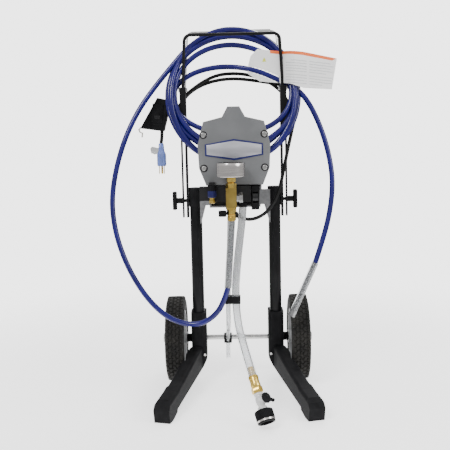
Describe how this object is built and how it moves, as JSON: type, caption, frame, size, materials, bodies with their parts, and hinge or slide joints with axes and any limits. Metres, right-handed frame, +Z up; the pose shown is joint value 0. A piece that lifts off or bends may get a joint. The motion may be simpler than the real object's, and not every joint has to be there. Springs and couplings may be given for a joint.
{
  "type": "airless paint sprayer cart",
  "caption": "Two-wheeled cart with an electric piston pump, pressure gauge, coiled high-pressure hose, suction hose and sliding wire handle.",
  "frame": {"origin": "on the floor under the middle of the cart", "axes": "+Z up, +X to the right of someone facing the pump, the feet towards -Y and the wheels towards +Y"},
  "size_m": [0.5211, 0.4353, 0.8434],
  "materials": {
    "frame_paint": "semi-gloss black powder coat",
    "black_plastic": "fine-textured moulded black",
    "tyre_rubber": "dusty black rubber with lug tread",
    "rim_grey": "light grey moulded",
    "zinc_steel": "zinc-plated",
    "cover_grey": "satin mid grey paint",
    "cast_grey": "painted die casting",
    "motor_black": "satin black",
    "inner_steel": "machined",
    "brass": "turned and milled",
    "gauge_steel": "polished stainless",
    "needle_black": "flat black",
    "hose_blue": "glossy royal blue jacket",
    "cord_black": "satin jacket",
    "clear_tube": "clear flexible PVC",
    "sleeve_clear": "clear PVC sleeve",
    "knob_blue": "glossy blue",
    "valve_white": "white moulded nylon and brass",
    "plug_blue": "clear blue moulded",
    "tag_white": "translucent white film",
    "switch_red": "gloss black"
  },
  "bodies": {
    "root": {"left_leg": "frame_paint", "right_leg": "frame_paint", "leg_caps": "black_plastic", "left_bracket": "black_plastic", "right_bracket": "black_plastic", "left_foot": "black_plastic", "right_foot": "black_plastic", "screws": "zinc_steel", "axle": "zinc_steel", "axle_spacers": "black_plastic", "front_cover": "cover_grey", "gear_housing": "cast_grey", "motor_housing": "motor_black", "motor_cap": "cast_grey", "pump_cylinder": "inner_steel", "pump_cradle": "cast_grey", "manifold": "motor_black", "switch_box": "black_plastic", "brass_block": "brass", "brass_fittings": "brass", "gauge_case": "gauge_steel", "union_nuts": "zinc_steel", "inlet_and_gland": "black_plastic", "hose_clips": "black_plastic", "hose_coil": "hose_blue", "hose_tail_a": "hose_blue", "hose_tail_b": "hose_blue", "hose_ends": "gauge_steel", "hose_sleeves": "sleeve_clear", "cord_coil": "cord_black", "power_cord": "cord_black", "gfci_box": "black_plastic", "plug_cable": "cord_black", "plug": "plug_blue", "suction_hose": "clear_tube", "drain_tube": "clear_tube", "inlet_valve": "valve_white", "warning_tag": "tag_white"},
    "left_wheel": {"left_tyre": "tyre_rubber", "left_rim": "rim_grey"},
    "right_wheel": {"right_tyre": "tyre_rubber", "right_rim": "rim_grey"},
    "left_clamp": {"left_knob": "black_plastic"},
    "right_clamp": {"right_knob": "black_plastic"},
    "upper_frame": {"left_rail": "frame_paint", "right_rail": "frame_paint", "handle": "frame_paint", "hanger": "zinc_steel", "handle_bolts": "zinc_steel"},
    "prime_valve": {"prime_knob": "knob_blue"},
    "bleed_valve": {"bleed_knob": "black_plastic"},
    "switch_rocker": {"power_switch": "switch_red"},
    "pointer": {"gauge_pointer": "needle_black"},
    "crank": {"crank_gear": "inner_steel"},
    "motor_rotor": {"rotor": "inner_steel"},
    "piston": {"piston_yoke": "inner_steel"},
    "test_button": {"gfci_test_button": "black_plastic"},
    "reset_button": {"gfci_reset_button": "switch_red"},
    "inlet_lever": {"valve_lever": "black_plastic"},
    "inlet_coupling": {"coupling_nut": "black_plastic"}
  },
  "joints": [
    {"name": "left_wheel_spin", "type": "hinge", "parent": "root", "child": "left_wheel", "pos_m": [-0.1475, 0.0935, 0.1015], "axis": [1, 0, 0], "continuous": true},
    {"name": "right_wheel_spin", "type": "hinge", "parent": "root", "child": "right_wheel", "pos_m": [0.1475, 0.0935, 0.1015], "axis": [1, 0, 0], "continuous": true},
    {"name": "left_clamp_turn", "type": "hinge", "parent": "root", "child": "left_clamp", "pos_m": [-0.125, 0.0715, 0.439], "axis": [-1, 0, 0], "range_deg": [-180, 180]},
    {"name": "right_clamp_turn", "type": "hinge", "parent": "root", "child": "right_clamp", "pos_m": [0.125, 0.0715, 0.439], "axis": [1, 0, 0], "range_deg": [-180, 180]},
    {"name": "upper_frame_slide", "type": "slide", "parent": "root", "child": "upper_frame", "axis": [0, 0, 1], "range_m": [-0.14, 0], "deforming": ["hose_coil", "cord_coil"]},
    {"name": "prime_valve_turn", "type": "hinge", "parent": "root", "child": "prime_valve", "pos_m": [-0.0495, -0.061, 0.468], "axis": [0, 0, 1], "range_deg": [0, 90]},
    {"name": "bleed_valve_turn", "type": "hinge", "parent": "root", "child": "bleed_valve", "pos_m": [-0.008, -0.0785, 0.424], "axis": [1, 0, 0], "range_deg": [0, 360]},
    {"name": "power_switch_rock", "type": "hinge", "parent": "root", "child": "switch_rocker", "pos_m": [0.0445, -0.0405, 0.455], "axis": [1, 0, 0], "range_deg": [0, 18]},
    {"name": "gauge_pointer_turn", "type": "hinge", "parent": "root", "child": "pointer", "pos_m": [-0.008, -0.0785, 0.525], "axis": [0, 0, -1], "range_deg": [0, 270]},
    {"name": "crank_spin", "type": "hinge", "parent": "root", "child": "crank", "pos_m": [0, -0.0045, 0.534], "axis": [0, 1, 0], "continuous": true},
    {"name": "rotor_spin", "type": "hinge", "parent": "root", "child": "motor_rotor", "pos_m": [0, 0.0535, 0.474], "axis": [0, 1, 0], "continuous": true},
    {"name": "piston_stroke", "type": "slide", "parent": "root", "child": "piston", "axis": [0, 0, 1], "range_m": [-0.012, 0.012]},
    {"name": "test_button_press", "type": "slide", "parent": "root", "child": "test_button", "axis": [0, 1, 0], "range_m": [0, 0.0015], "stiffness_N_per_m": 300},
    {"name": "reset_button_press", "type": "slide", "parent": "root", "child": "reset_button", "axis": [0, 1, 0], "range_m": [0, 0.0015], "stiffness_N_per_m": 300},
    {"name": "inlet_lever_turn", "type": "hinge", "parent": "root", "child": "inlet_lever", "pos_m": [0.04372, -0.19798, 0.04942], "axis": [0.6211, -0.5232, 0.5835], "range_deg": [0, 90]},
    {"name": "coupling_spin", "type": "hinge", "parent": "root", "child": "inlet_coupling", "pos_m": [0.05136, -0.21506, 0.02597], "axis": [0.2545, -0.5695, -0.7816], "continuous": true}
  ],
  "couplings": [
    {"joint": "rotor_spin", "follows": "crank_spin", "ratio": -4}
  ]
}
